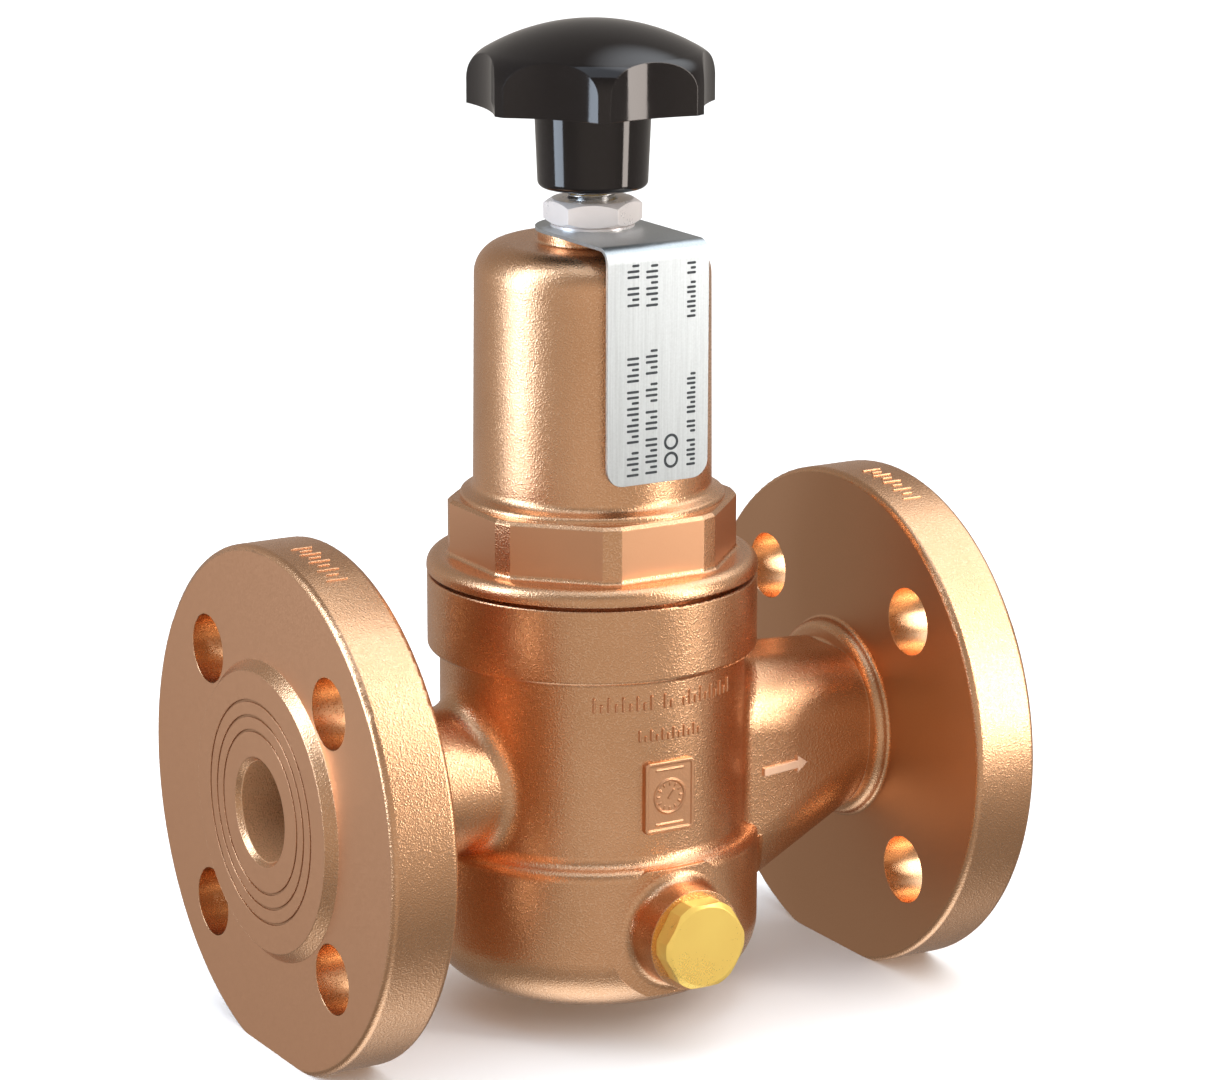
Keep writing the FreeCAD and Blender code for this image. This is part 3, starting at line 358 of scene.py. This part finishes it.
def brushed_plate(name, colour, pale):
    """Stainless sheet, brushed along its length."""
    f = Finish(name, colour, 1.0, 0.36)
    brush = f.noise(900.0, 3.0, 0.65, f.stretched(3.0, 3.0, 0.06))
    grit = f.noise(2400.0, 2.0, 0.5)
    mixed = f.math("ADD", f.math("MULTIPLY", brush, 0.7), f.math("MULTIPLY", grit, 0.3))
    shade = f.blend(f.ramp(mixed, 0.35, 0.65), colour, pale)
    f.relief(mixed, 0.012 * MM, 0.12 * MM)
    return f.set(Base_Color=shade, Roughness=f.ramp(mixed, 0.30, 0.70, 0.33, 0.43))


def printing_ink(name, colour, worn):
    f = Finish(name, colour, 0.0, 0.55)
    speckle = f.noise(1800.0, 2.0, 0.5)
    f.relief(speckle, 0.004 * MM)
    return f.set(Base_Color=f.blend(f.ramp(speckle, 0.40, 0.75), colour, worn))


# the third mask lays painted shade on the flange faces that look at the body and in the face grooves
CASTING_BODY = cast_bronze(
    "cast_gunmetal_body", flange_faces, bolt_holes, painted_shade_places, flow_bore, flow_arrow)
CASTING_BONNET = cast_bronze("cast_gunmetal_bonnet", octagon_flats)
CAST_MARKS = cast_bronze("cast_gunmetal_marks", mostly)
GUNMETAL = turned_metal(
    "turned_gunmetal", colour=(0.83, 0.47, 0.27), deep=(0.74, 0.38, 0.20), roughness=0.30, across=(1, 1, 6))
BRASS = turned_metal(
    "brass", colour=(0.93, 0.65, 0.155), deep=(0.90, 0.60, 0.14), roughness=0.30, across=(1, 5, 1),
    depth=0.002 * MM, metallic=0.62)
ZINC = turned_metal(
    "zinc_plated_steel", colour=(0.93, 0.86, 0.83), deep=(0.86, 0.79, 0.76), roughness=0.30, metallic=0.6)
STEEL = turned_metal(
    "stainless_steel", colour=(0.64, 0.63, 0.62), deep=(0.56, 0.55, 0.54), roughness=0.28, across=(1, 1, 8))
SPRING = turned_metal(
    "spring_steel", colour=(0.40, 0.39, 0.38), deep=(0.30, 0.29, 0.28), roughness=0.38)
PLATE = brushed_plate("brushed_plate", colour=(0.47, 0.49, 0.495), pale=(0.57, 0.595, 0.60))
PLASTIC = moulded_plastic(
    "black_plastic", colour=(0.0035, 0.0028, 0.0030), worn=(0.0052, 0.0044, 0.0047), roughness=0.07,
    depth=0.002 * MM, index=1.52)
RUBBER = moulded_plastic(
    "black_rubber", colour=(0.020, 0.020, 0.021), worn=(0.034, 0.033, 0.033), roughness=0.62,
    depth=0.030 * MM)
SLIP = moulded_plastic(
    "white_slip_plastic", colour=(0.72, 0.71, 0.68), worn=(0.62, 0.61, 0.57), roughness=0.42,
    depth=0.010 * MM)
INK = printing_ink("dark_print", colour=(0.016, 0.020, 0.024), worn=(0.036, 0.040, 0.045))

FINISHES = {
    CASTING_BODY: ["valve_body"],
    CASTING_BONNET: ["spring_bonnet"],
    GUNMETAL: ["disc_holder", "stem_guide", "seat_ring"],
    BRASS: ["gauge_plug_front", "gauge_plug_rear", "knob_insert", "diaphragm_washer"],
    ZINC: ["lock_nut", "lock_washer", "stem_nut", "disc_nut", "lower_spring_plate", "upper_spring_plate"],
    STEEL: ["adjusting_screw", "valve_stem", "seal_retainer"],
    SPRING: ["pressure_spring"],
    PLATE: ["name_plate"],
    PLASTIC: ["hand_knob"],
    RUBBER: ["diaphragm", "piston_seal", "guide_seal", "disc_seal", "gauge_plug_seal_front",
             "gauge_plug_seal_rear"],
    SLIP: ["slip_ring"],
}
for material, names in FINISHES.items():
    for name in names:
        node = frame["nodes"][name]
        node.data.materials.clear()
        node.data.materials.append(material)


# ---- mesh helpers ----
def piece(name, vertices, faces, material, body="body", smooth=False):
    """A new object with the given finish, which rides on a body."""
    mesh = bpy.data.meshes.new(name)
    mesh.from_pydata([tuple(v) for v in vertices], [], faces)
    mesh.materials.append(material)
    mesh.validate()
    mesh.update()
    for polygon in mesh.polygons:
        polygon.use_smooth = smooth
    made = bpy.data.objects.new(name, mesh)
    bpy.context.scene.collection.objects.link(made)
    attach(made, body)
    return made


def rounded_outline(width, height, corner, steps=4):
    """Points of a rounded rectangle about the origin, anticlockwise."""
    points = []
    for quarter in range(4):
        sign_u = (1, -1, -1, 1)[quarter]
        sign_v = (1, 1, -1, -1)[quarter]
        centre_u = sign_u * (width / 2 - corner)
        centre_v = sign_v * (height / 2 - corner)
        for step in range(steps + 1):
            angle = math.pi / 2 * (quarter + step / steps)
            points.append((centre_u + corner * math.cos(angle), centre_v + corner * math.sin(angle)))
    return points


class Relief:
    """Collects raised shapes given as (u, v, height) and lays them on a surface with place()."""

    def __init__(self, place):
        self.place = place
        self.vertices = []
        self.faces = []

    def loops(self, rings, centre=(0.0, 0.0)):
        """Rings of points with heights, joined one to the next; the last one is closed with a face."""
        count = len(rings[0][0])
        first = len(self.vertices)
        for points, height in rings:
            for u, v in points:
                self.vertices.append(self.place(u + centre[0], v + centre[1], height))
        for level in range(len(rings) - 1):
            start = first + level * count
            for i in range(count):
                after = (i + 1) % count
                self.faces.append((start + i, start + after, start + count + after, start + count + i))
        last = first + (len(rings) - 1) * count
        self.faces.append(tuple(last + i for i in range(count)))

    def pad(self, u, v, width, height, rise, angle=0.0, sink=0.3 * MM, bevel=0.12 * MM):
        """A raised bar with bevelled edges, turned by angle in its plane."""
        cosine, sine = math.cos(angle), math.sin(angle)

        def turn(points):
            return [(x * cosine - y * sine, x * sine + y * cosine) for x, y in points]

        corner = min(width, height) * 0.45
        inner_corner = max(corner - bevel, 0.02 * MM)
        inside = turn(rounded_outline(width - 2 * bevel, height - 2 * bevel, inner_corner))
        outside = turn(rounded_outline(width, height, corner))
        self.loops([(outside, -sink), (outside, rise - bevel), (inside, rise)], (u, v))

    def ring(self, radius, width, rise, sink=0.3 * MM, steps=48):
        """A raised ring about the origin with a rounded top."""
        half, quarter = width / 2, width / 4
        profile = [
            (radius - half, -sink), (radius - half, rise * 0.6), (radius - quarter, rise),
            (radius + quarter, rise), (radius + half, rise * 0.6), (radius + half, -sink)]
        count = len(profile)
        first = len(self.vertices)
        for i in range(steps):
            angle = 2 * math.pi * i / steps
            for reach, height in profile:
                self.vertices.append(self.place(reach * math.cos(angle), reach * math.sin(angle), height))
        for i in range(steps):
            here = first + i * count
            there = first + (i + 1) % steps * count
            for j in range(count - 1):
                self.faces.append((here + j, here + j + 1, there + j + 1, there + j))

    def piece(self, name, material, slot):
        return piece(name, self.vertices, self.faces, material)


# ---- cast marks on the barrel: plain strokes in place of lettering ----
MARK_RISE = 0.32 * MM
MARK_WIDTH = 0.52 * MM
SHORT_MARK = 0.55
UPPER_MARKS = dict(
    centre_v=19.7 * MM, tall=3.05 * MM, start=-15.9 * MM, end=16.2 * MM, count=23, gaps=(9, 12))
LOWER_MARKS = dict(
    centre_v=12.95 * MM, tall=2.4 * MM, start=-6.7 * MM, end=6.9 * MM, count=12, gaps=())


def on_barrel(u, v, height):
    """u runs round the barrel from its front line, v is the height above the pipe axis."""
    angle = u / BARREL_RADIUS
    reach = BARREL_RADIUS + height
    return Vector((reach * math.sin(angle), -reach * math.cos(angle), AXIS_Z + v))


def mark_row(relief, centre_v, tall, start, end, count, gaps):
    """A row of strokes, long and short by turns."""
    pitch = (end - start) / (count - 1)
    for i in range(count):
        if i in gaps:
            continue
        length = tall if i % 2 == 0 else tall * SHORT_MARK
        relief.pad(start + i * pitch, centre_v - (tall - length) / 2, MARK_WIDTH, length, MARK_RISE)


def barrel_marks():
    relief = Relief(on_barrel)
    mark_row(relief, **UPPER_MARKS)
    mark_row(relief, **LOWER_MARKS)
    return relief.piece("cast_marks", CAST_MARKS, "gunmetal")


# ---- badge on the barrel, with a casting date clock ----
BADGE_WIDTH = 11.3 * MM
BADGE_HEIGHT = 14.6 * MM
BADGE_X = -0.4 * MM
BADGE_Z = 0.1 * MM + AXIS_Z
BADGE_FRONT = 31.45 * MM
BADGE_SINK = 1.6 * MM
BADGE_RIM = 0.75 * MM
BADGE_FIELD = -0.28 * MM
CLOCK_RADIUS = 3.4 * MM
CLOCK_HOURS = 12
HOUR_INSET = 0.85 * MM
FINE_BEVEL = 0.08 * MM
BADGE_BAR_HEIGHTS = (-5.6 * MM, 5.6 * MM)


def on_badge(u, v, height):
    return Vector((BADGE_X + u, -BADGE_FRONT - height, BADGE_Z + v))


def on_badge_field(u, v, height):
    return on_badge(u, v, height + BADGE_FIELD)


def badge():
    """Flat plate with a rounded rim, and in it a ring with twelve ticks, a pointer and two bars."""

    def outline(inset, corner):
        return rounded_outline(BADGE_WIDTH - 2 * inset, BADGE_HEIGHT - 2 * inset, corner)

    relief = Relief(on_badge)
    relief.loops([
        (outline(-0.10 * MM, 1.1 * MM), -BADGE_SINK),
        (outline(0.0, 1.0 * MM), -0.16 * MM),
        (outline(0.05 * MM, 0.95 * MM), -0.05 * MM),
        (outline(0.16 * MM, 0.85 * MM), 0.0),
        (outline(BADGE_RIM - 0.16 * MM, 0.55 * MM), 0.0),
        (outline(BADGE_RIM - 0.05 * MM, 0.5 * MM), -0.06 * MM),
        (outline(BADGE_RIM + 0.05 * MM, 0.45 * MM), BADGE_FIELD),
    ])
    relief.place = on_badge_field
    relief.ring(CLOCK_RADIUS, 0.5 * MM, 0.26 * MM)
    reach = CLOCK_RADIUS - HOUR_INSET
    for hour in range(CLOCK_HOURS):
        angle = 2 * math.pi * hour / CLOCK_HOURS
        relief.pad(reach * math.cos(angle), reach * math.sin(angle), 0.7 * MM, 0.28 * MM, 0.22 * MM,
                   angle, bevel=FINE_BEVEL)
    relief.pad(0.35 * MM, 0.45 * MM, 2.2 * MM, 0.42 * MM, 0.26 * MM, math.radians(52), bevel=FINE_BEVEL)
    for v in BADGE_BAR_HEIGHTS:
        relief.pad(0.0, v, 6.4 * MM, 0.36 * MM, 0.22 * MM)
    return relief.piece("cast_badge", CAST_MARKS, "gunmetal")


# ---- cast marks on the flange rims ----
RIM_CENTRE = FACE_X - RAISED_FACE - FLANGE_PLATE / 2
RIM_MARKS = 9
RIM_MARK_START = 2.0 * MM
RIM_MARK_PITCH = 1.9 * MM
RIM_MARK_WIDTH = 0.5 * MM
RIM_MARK_LENGTHS = (4.6 * MM, 2.6 * MM)
RIM_MARK_RISE = 0.22 * MM


def rim_marks(name, centre_x):
    """Strokes on the rim of a flange, from its top towards the front."""

    def on_rim(u, v, height):
        angle = u / FLANGE_RADIUS
        reach = FLANGE_RADIUS + height
        return Vector((centre_x + v, -reach * math.sin(angle), AXIS_Z + reach * math.cos(angle)))

    relief = Relief(on_rim)
    for i in range(RIM_MARKS):
        u = RIM_MARK_START + i * RIM_MARK_PITCH
        relief.pad(u, 0.0, RIM_MARK_WIDTH, RIM_MARK_LENGTHS[i % 2], RIM_MARK_RISE)
    return relief.piece(name, CAST_MARKS, "gunmetal")


# ---- print on the name plate: plain ticks and rings in place of lettering ----
PRINT_RISE = 0.02 * MM
TICK_WIDTH = 0.52 * MM
SHORT_TICK = 0.6
# each line: its x, length of a long tick, height of its lower and upper end, pitch, ticks left out
PRINT_LINES = (
    (-5.7 * MM, 2.7 * MM, 97.6 * MM, 106.7 * MM, 1.1 * MM, (4,)),
    (-5.7 * MM, 2.7 * MM, 64.0 * MM, 88.5 * MM, 1.1 * MM, (5, 16)),
    (-1.5 * MM, 2.7 * MM, 97.3 * MM, 105.8 * MM, 1.1 * MM, ()),
    (-1.5 * MM, 2.7 * MM, 64.1 * MM, 89.6 * MM, 1.1 * MM, (7, 12, 17)),
    (7.4 * MM, 2.0 * MM, 94.4 * MM, 105.5 * MM, 0.95 * MM, (8,)),
    (7.5 * MM, 2.0 * MM, 64.9 * MM, 83.7 * MM, 0.95 * MM, (6, 10)),
)
SIGN_X = 3.0 * MM
SIGN_HEIGHTS = (66.7 * MM, 70.3 * MM)
SIGN_RADIUS = 1.35 * MM
SIGN_STROKE = 0.55 * MM


def on_plate(u, v, height):
    """u runs across the plate, v is the height above the pipe axis."""
    return Vector((u, PLATE_FRONT - height, AXIS_Z + v))


def print_line(relief, x, tall, bottom, top, pitch, gaps):
    """A line of long and short ticks that runs up the plate."""
    for i in range(round((top - bottom) / pitch)):
        if i in gaps:
            continue
        reach = tall * SHORT_TICK if i % 3 == 1 else tall
        v = bottom + (i + 0.5) * pitch
        relief.pad(x + (tall - reach) / 2, v, reach, TICK_WIDTH, PRINT_RISE, sink=0.0, bevel=0.0)


def plate_print():
    relief = Relief(on_plate)
    for line in PRINT_LINES:
        print_line(relief, *line)
    for v in SIGN_HEIGHTS:
        relief.place = lambda x, z, height, v=v: on_plate(x + SIGN_X, z + v, height)
        relief.ring(SIGN_RADIUS, SIGN_STROKE, PRINT_RISE, sink=0.0)
    return relief.piece("plate_print", INK, "plate_steel")


# ---- thread on the spindle ----
THREAD_PITCH = 1.5 * MM
THREAD_DEPTH = 0.82 * MM
THREAD_FLANKS = 0.86
THREAD_STEPS = 40
ROWS_PER_PITCH = 8
LOWER_CHAMFER = 1.2 * MM
UPPER_CHAMFER = 0.8 * MM


def spindle():
    """Threaded rod with a helical groove, chamfered at both ends."""
    length = SCREW_HIGH.z - SCREW_LOW.z
    rows = int(length / THREAD_PITCH * ROWS_PER_PITCH)
    vertices = []
    faces = []
    for row in range(rows + 1):
        z = SCREW_LOW.z + length * row / rows
        lower_limit = SCREW_RADIUS - max(0.0, LOWER_CHAMFER - (z - SCREW_LOW.z))
        upper_limit = SCREW_RADIUS - max(0.0, UPPER_CHAMFER - (SCREW_HIGH.z - z))
        for step in range(THREAD_STEPS):
            angle = 2 * math.pi * step / THREAD_STEPS
            phase = ((z - SCREW_LOW.z) / THREAD_PITCH - step / THREAD_STEPS) % 1.0
            ridge = min(abs(phase - 0.5) * 2.0 / THREAD_FLANKS, 1.0)
            radius = min(SCREW_RADIUS - THREAD_DEPTH * (1.0 - ridge), lower_limit, upper_limit)
            vertices.append((radius * math.cos(angle), radius * math.sin(angle), z))
    for row in range(rows):
        start = row * THREAD_STEPS
        above = start + THREAD_STEPS
        for step in range(THREAD_STEPS):
            after = (step + 1) % THREAD_STEPS
            faces.append((start + step, start + after, above + after, above + step))
    faces.append(tuple(reversed(range(THREAD_STEPS))))
    faces.append(tuple(rows * THREAD_STEPS + step for step in range(THREAD_STEPS)))
    rod = piece("threaded_spindle", vertices, faces, STEEL, "adjuster", smooth=True)
    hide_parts("adjusting_screw")
    return rod


barrel_marks()
badge()
rim_marks("rim_marks_inlet", -RIM_CENTRE)
rim_marks("rim_marks_outlet", RIM_CENTRE)
plate_print()
spindle()

# ---- floor, lights and camera ----
CAMERA_PLACE = Vector((-0.41933, -0.71848, 0.30615))
CAMERA_TARGET = Vector((0.00251, 0.0, 0.09504))
CAMERA_ROLL = math.radians(0.128)
CAMERA_LENS = 127.43
SENSOR_WIDTH = 36.0
FLOOR_HALF = 6.0
FLOOR_EDGE = 8.0
FLOOR_EDGE_RISE = 3.0
FLOOR_GREY = (0.85, 0.845, 0.84)
FLOOR_PALE = (0.88, 0.878, 0.872)
COOL = (0.76, 0.97, 1.22)
WHITE = (1.0, 0.98, 0.96)
SOFTBOXES = {
    "softbox_left": dict(
        place=Vector((-0.535, 0.128, 0.46)), target=Vector((0, 0, 0.46)), width=0.21, height=0.90,
        power=3.9, colour=COOL),
    "softbox_right": dict(
        place=Vector((0.350, -0.423, 0.41)), target=Vector((0, 0, 0.41)), width=0.12, height=0.80,
        power=2.5, colour=WHITE),
    "softbox_top": dict(
        place=Vector((-0.15, -0.25, 1.4)), target=CAMERA_TARGET, width=0.9, height=0.9,
        power=2.4, colour=COOL),
}
SKYLIGHT_STRENGTH = 2.9
SKYLIGHT_SPREAD = math.radians(120)
SKY_TINT = (1.0, 0.93, 0.86)
# brightness of the room by height, from 0, straight down, to 1, straight up: the two ends first
SKY_LEVELS = (
    (0.0, 0.55), (1.0, 0.24),
    (0.06, 0.45), (0.13, 0.20), (0.36, 0.42), (0.50, 0.44), (0.64, 0.36),
)
# patches of light in the room: direction, cosine of the outer and the inner edge, colour
SKY_PATCHES = (
    (Vector((-0.35, -0.92, -0.10)), 0.60, 0.98, (0.22, 0.205, 0.19)),
    (Vector((0.55, 0.00, 0.83)), 0.84, 0.97, (1.70, 1.90, 2.10)),
    (Vector((0.0, 0.0, -1.0)), 0.84, 0.97, (0.90, 1.10, 1.30)),
)


def floor():
    """A wide flat sheet with its edges turned up, far from the object."""
    f = Finish("pale_floor", FLOOR_GREY, 0.0, 0.8)
    f.set(Base_Color=f.blend(f.noise(3.0, 2.0, 0.5), FLOOR_GREY, FLOOR_PALE))
    corners = ((-1, -1), (1, -1), (1, 1), (-1, 1))
    flat = [(FLOOR_HALF * x, FLOOR_HALF * y, 0.0) for x, y in corners]
    edge = [(FLOOR_EDGE * x, FLOOR_EDGE * y, FLOOR_EDGE_RISE) for x, y in corners]
    faces = [(0, 1, 2, 3)] + [(i, i + 4, (i + 1) % 4 + 4, (i + 1) % 4) for i in range(4)]
    mesh = bpy.data.meshes.new("floor")
    mesh.from_pydata(flat + edge, [], faces)
    mesh.materials.append(f.material)
    sheet = bpy.data.objects.new("floor", mesh)
    bpy.context.scene.collection.objects.link(sheet)
    sheet.visible_glossy = False


def softbox(name, place, target, width, height, power, colour):
    """A rectangular light that the camera doesn't see."""
    lamp = bpy.data.lights.new(name, "AREA")
    lamp.shape = "RECTANGLE"
    lamp.size = width
    lamp.size_y = height
    lamp.energy = power
    lamp.color = colour
    stand = bpy.data.objects.new(name, lamp)
    stand.location = place
    stand.visible_camera = False
    stand.rotation_euler = (target - place).to_track_quat("-Z", "Y").to_euler()
    bpy.context.scene.collection.objects.link(stand)


def skylight():
    """Even light from above. Metals don't mirror it."""
    lamp = bpy.data.lights.new("skylight", "SUN")
    lamp.energy = SKYLIGHT_STRENGTH
    lamp.angle = SKYLIGHT_SPREAD
    stand = bpy.data.objects.new("skylight", lamp)
    stand.visible_glossy = False
    bpy.context.scene.collection.objects.link(stand)


def camera():
    lens = bpy.data.cameras.new("camera")
    lens.lens = CAMERA_LENS
    lens.sensor_fit = "HORIZONTAL"
    lens.sensor_width = SENSOR_WIDTH
    lens.clip_end = 50.0
    eye = bpy.data.objects.new("camera", lens)
    turn = (CAMERA_TARGET - CAMERA_PLACE).to_track_quat("-Z", "Y").to_matrix().to_4x4()
    eye.matrix_world = Matrix.Translation(CAMERA_PLACE) @ turn @ Matrix.Rotation(CAMERA_ROLL, 4, "Z")
    bpy.context.scene.collection.objects.link(eye)
    bpy.context.scene.camera = eye


def world():
    """Grey room, brightest below and dim overhead, with soft patches of light."""
    sky = bpy.data.worlds.new("studio")
    sky.use_nodes = True
    tree = sky.node_tree

    def node(kind, **settings):
        made = tree.nodes.new(kind)
        for key, value in settings.items():
            setattr(made, key, value)
        return made

    def spread(value, interpolation, *limits):
        made = node("ShaderNodeMapRange", interpolation_type=interpolation)
        tree.links.new(value, made.inputs["Value"])
        for socket, limit in zip(("From Min", "From Max", "To Min", "To Max"), limits):
            made.inputs[socket].default_value = limit
        return made.outputs[0]

    direction = node("ShaderNodeTexCoord").outputs["Generated"]
    axes = node("ShaderNodeSeparateXYZ")
    tree.links.new(direction, axes.inputs[0])
    ramp = node("ShaderNodeValToRGB")
    tree.links.new(spread(axes.outputs["Z"], "LINEAR", -1.0, 1.0, 0.0, 1.0), ramp.inputs[0])
    stops = ramp.color_ramp.elements
    for number, (place, level) in enumerate(SKY_LEVELS):
        stop = stops[number] if number < 2 else stops.new(place)
        stop.position = place
        stop.color = (*(level * share for share in SKY_TINT), 1)
    total = ramp.outputs[0]
    for towards, outer, inner, colour in SKY_PATCHES:
        facing = node("ShaderNodeVectorMath", operation="DOT_PRODUCT")
        tree.links.new(direction, facing.inputs[0])
        facing.inputs[1].default_value = towards.normalized()
        share = spread(facing.outputs["Value"], "SMOOTHSTEP", outer, inner, 0.0, 1.0)
        added = node("ShaderNodeMix", data_type="RGBA", blend_type="ADD")
        tree.links.new(share, added.inputs["Factor"])
        tree.links.new(total, added.inputs[6])
        added.inputs[7].default_value = (*colour, 1)
        total = added.outputs[2]
    tree.links.new(total, tree.nodes["Background"].inputs["Color"])
    bpy.context.scene.world = sky


floor()
for name, settings in SOFTBOXES.items():
    softbox(name, **settings)
skylight()
camera()
world()
bpy.context.scene.view_settings.view_transform = "Standard"
